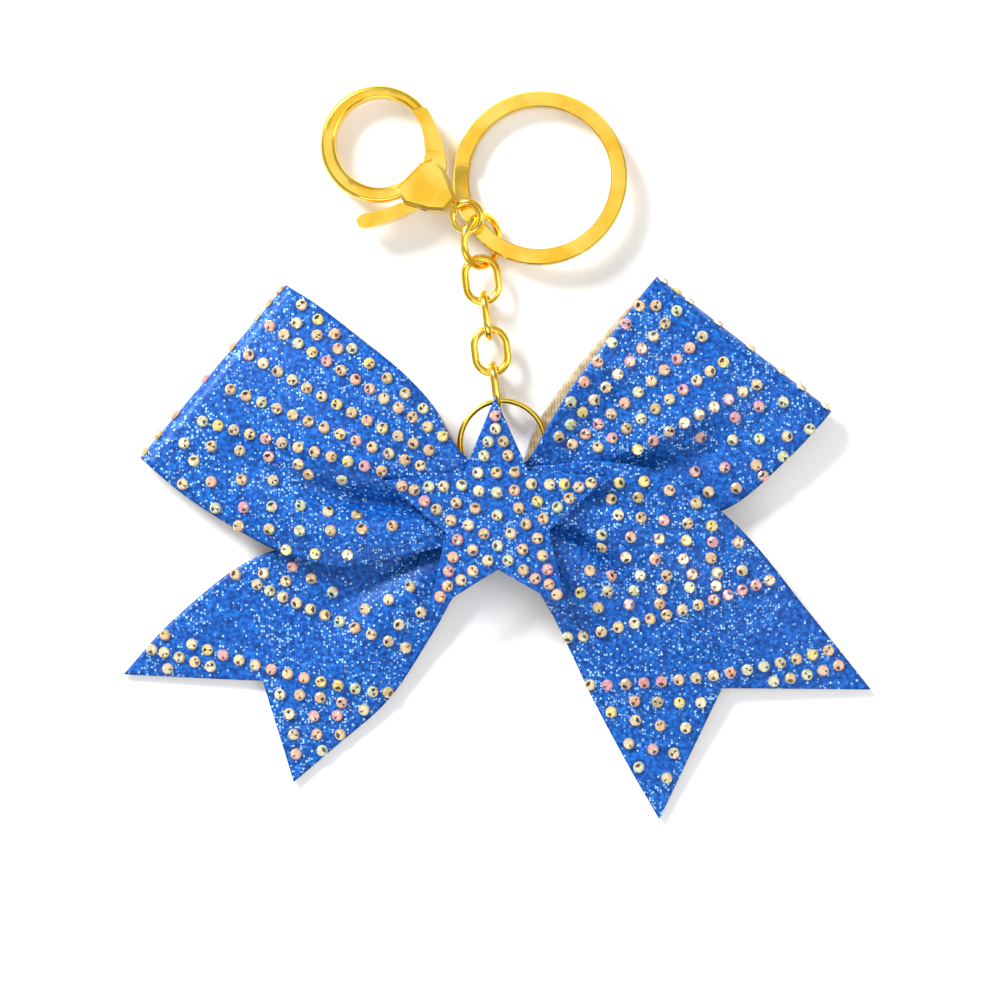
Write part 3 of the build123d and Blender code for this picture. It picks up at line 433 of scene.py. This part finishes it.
def set_stones(name, surface, body):
    """Sets a cut stone, crown up, on the surface under each CAD stone."""
    bm = bmesh.new()
    tint = bm.loops.layers.float_color.new("facet")
    for centre in stone_centres(name):
        hit, normal, face, gap = surface.ray_cast(centre + Vector((0, 0, 4 * MM)), Vector((0, 0, -1)))
        beside, lean, face, gap = surface.find_nearest(centre)
        if hit is None or normal.z < 0.5 or abs(hit.z - centre.z) > 1.6 * MM:
            hit, normal = beside, lean
        if normal.dot(centre - hit) < 0 and normal.z < 0:
            normal = -normal
        turn = Matrix.Rotation(random.uniform(0, math.pi), 4, "Z")
        place = Matrix.Translation(hit) @ normal.to_track_quat("Z", "Y").to_matrix().to_4x4() @ turn
        before = len(bm.verts)
        made = bmesh.ops.create_cone(
            bm, cap_ends=True, segments=9, radius1=STONE_R * MM, radius2=0.9 * STONE_R * MM, depth=0.4 * MM)
        bmesh.ops.translate(bm, verts=made["verts"], vec=(0, 0, 0.24 * MM))
        table = max({f for v in made["verts"] for f in v.link_faces}, key=lambda f: f.calc_center_median().z)
        bmesh.ops.inset_region(bm, faces=[table], thickness=0.24 * MM, depth=0.2 * MM)
        fan = bmesh.ops.poke(bm, faces=[table])["faces"]
        bm.verts.ensure_lookup_table()
        new_verts = bm.verts[before:]
        bmesh.ops.transform(bm, matrix=place, verts=new_verts)
        # Painted light on each stone: a run of fan facets takes a painted dark reflection, and every facet gets a
        # random painted shade.
        light = random.choice(CROWN)
        dark = random.choice(PAINTED_REFLECTION_DARKS)
        first = random.randrange(9)
        wide = random.choice((1, 2, 3, 3))
        for face in {f for v in new_verts for f in v.link_faces}:
            painted_facet_shade = random.uniform(0.75, 1.1)
            code = light
            if face in fan and (fan.index(face) - first) % 9 < wide:
                code = dark
            elif random.random() < 0.2:
                code = random.choice(CROWN)
            r, g, b, alpha = linear(code)
            for loop in face.loops:
                loop[tint] = (min(1, r * painted_facet_shade), min(1, g * painted_facet_shade), min(1, b * painted_facet_shade), 1)
    mesh = bpy.data.meshes.new("cut_" + name)
    bm.to_mesh(mesh)
    bm.free()
    mesh.materials.append(CRYSTAL)
    o = bpy.data.objects.new("cut_" + name, mesh)
    bpy.context.scene.collection.objects.link(o)
    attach(o, body)
    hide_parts(name)


star = bmesh.new()
star.from_mesh(nodes["star_patch"].data)
surfaces["star"] = BVHTree.FromBMesh(star)
star.free()
for part, surface in surfaces.items():
    set_stones("stones_" + part, surface, "bow")


# ------------------------------------------------------------------- hardware
def dress(name, material, angle=35):
    """Gives a CAD node its finish, rounded faces shaded smooth and real edges kept crisp."""
    o = nodes[name]
    o.data.materials.clear()
    o.data.materials.append(material)
    for face in o.data.polygons:
        face.use_smooth = True
    weld = o.modifiers.new("weld", "WELD")
    weld.merge_threshold = 1e-6
    crisp = o.modifiers.new("crisp", "EDGE_SPLIT")
    crisp.split_angle = math.radians(angle)


for name in ("wire_ring", "connector_ring", "swivel_eye", "clasp_body", "clasp_gate", "split_ring", "gate_pin",
             "chain_link_1", "chain_link_2", "chain_link_3", "chain_link_4"):
    dress(name, GOLD)
dress("gate_spring", STEEL)
dress("star_patch", STAR_GLITTER)
dress("star_pad", FELT)
dress("centre_tie", THREAD_AND_PAINTED_SHADE)


# ------------------------------------------------------------ floor and light
def studio_piece(name, kind, place, aim, size, power):
    light = bpy.data.lights.new(name, kind)
    light.shape = "RECTANGLE"
    light.size, light.size_y = size
    light.energy = power
    o = bpy.data.objects.new(name, light)
    o.location = place
    o.rotation_euler = (Vector(aim) - Vector(place)).to_track_quat("-Z", "Y").to_euler()
    bpy.context.scene.collection.objects.link(o)


floor_bm = bmesh.new()
bmesh.ops.create_grid(floor_bm, x_segments=8, y_segments=8, size=1.2)
bmesh.ops.translate(floor_bm, verts=floor_bm.verts[:], vec=(0, 0, -0.0002))
floor_mesh = bpy.data.meshes.new("floor")
floor_bm.to_mesh(floor_mesh)
floor_bm.free()
paper, paper_tree, paper_shader, paper_place = start("pale_paper", 0.0, 0.9)
paper_tone = add(paper_tree, "TexNoise", Vector=paper_place, Scale=per(40.0))
paper_colour = add(paper_tree, "ValToRGB", stops=[(0.3, "f6f6f6"), (0.7, "fbfbfb")], i0=paper_tone.outputs[0])
paper_tree.links.new(paper_colour.outputs[0], paper_shader.inputs["Base Color"])
floor_mesh.materials.append(paper)
floor = bpy.data.objects.new("floor", floor_mesh)
bpy.context.scene.collection.objects.link(floor)

studio_piece("key", "AREA", (-0.5, 0.55, 0.5), (0, 0, 0), (0.3, 0.3), 12.0)
studio_piece("fill", "AREA", (0.45, -0.05, 0.5), (0, 0, 0), (0.3, 0.5), 1.4)
studio_piece("low", "AREA", (-0.1, -0.5, 0.35), (0, 0, 0), (0.5, 0.2), 0.9)
studio_piece("top", "AREA", (0, 0.001, 1.2), (0, 0, 0), (0.8, 0.8), 1.25)

world = bpy.data.worlds.new("studio")
bpy.context.scene.world = world
world.use_nodes = True
sky = world.node_tree
place = add(sky, "TexCoord").outputs["Generated"]
bands = add(sky, "TexNoise", Vector=place, Scale=2.2, Detail=0.5)
glow = add(sky, "ValToRGB", stops=[(0.4, "c4c4c4"), (0.5, "eeeeee"), (0.6, "ffffff")], i0=bands.outputs[0])
sky.links.new(glow.outputs[0], sky.nodes["Background"].inputs["Color"])
sky.nodes["Background"].inputs["Strength"].default_value = 0.56

# --------------------------------------------------------------------- camera
lens = bpy.data.cameras.new("camera")
lens.lens = 200
lens.sensor_width = 36
bpy.context.scene.view_settings.view_transform = "Standard"
camera = bpy.data.objects.new("camera", lens)
camera.location = (0.0005, BOW_Y * MM + 0.0026, 0.96)
bpy.context.scene.collection.objects.link(camera)
bpy.context.scene.camera = camera
